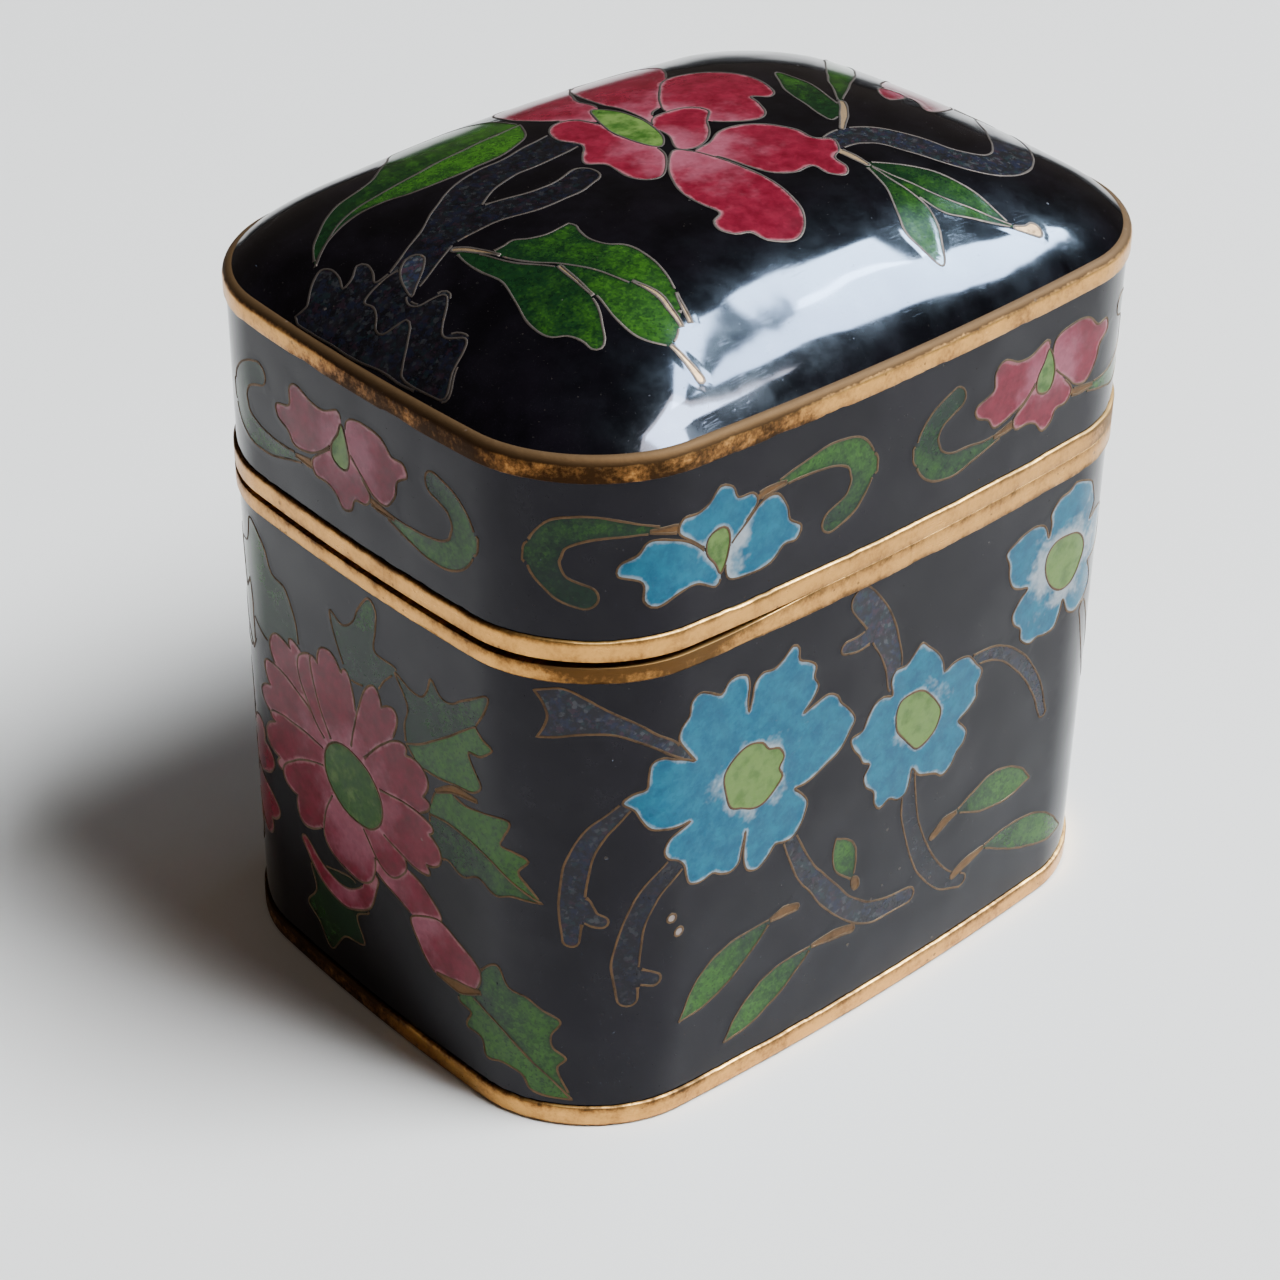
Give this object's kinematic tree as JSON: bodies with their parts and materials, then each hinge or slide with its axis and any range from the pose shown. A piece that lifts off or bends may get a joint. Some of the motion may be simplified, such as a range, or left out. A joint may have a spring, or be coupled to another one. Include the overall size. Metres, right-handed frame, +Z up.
{
  "type": "cloisonne enamel box",
  "caption": "Small lidded trinket box with bowed sides and a domed lid: black floral cloisonne enamel on copper, brass bands, a lid that lifts off a collar.",
  "frame": {"origin": "under the middle of the box, on the surface that it stands on", "axes": "+Z up; X along the long sides; Y along the short sides; the long side with the turquoise flowers faces -Y and the short side with the red peony faces -X"},
  "size_m": [0.0502, 0.0386, 0.0525],
  "materials": {
    "brass": "worn, lightly tarnished and pitted brass, satin",
    "black_enamel": "very glossy black glass enamel on copper, with coloured cells between fine brass wires ground flush"
  },
  "bodies": {
    "root": {"foot_band": "brass", "box_body": "black_enamel", "mouth_band": "brass", "lid_rim": "brass", "lid_skirt": "black_enamel", "shoulder_band": "brass", "lid_dome": "black_enamel"}
  },
  "joints": []
}
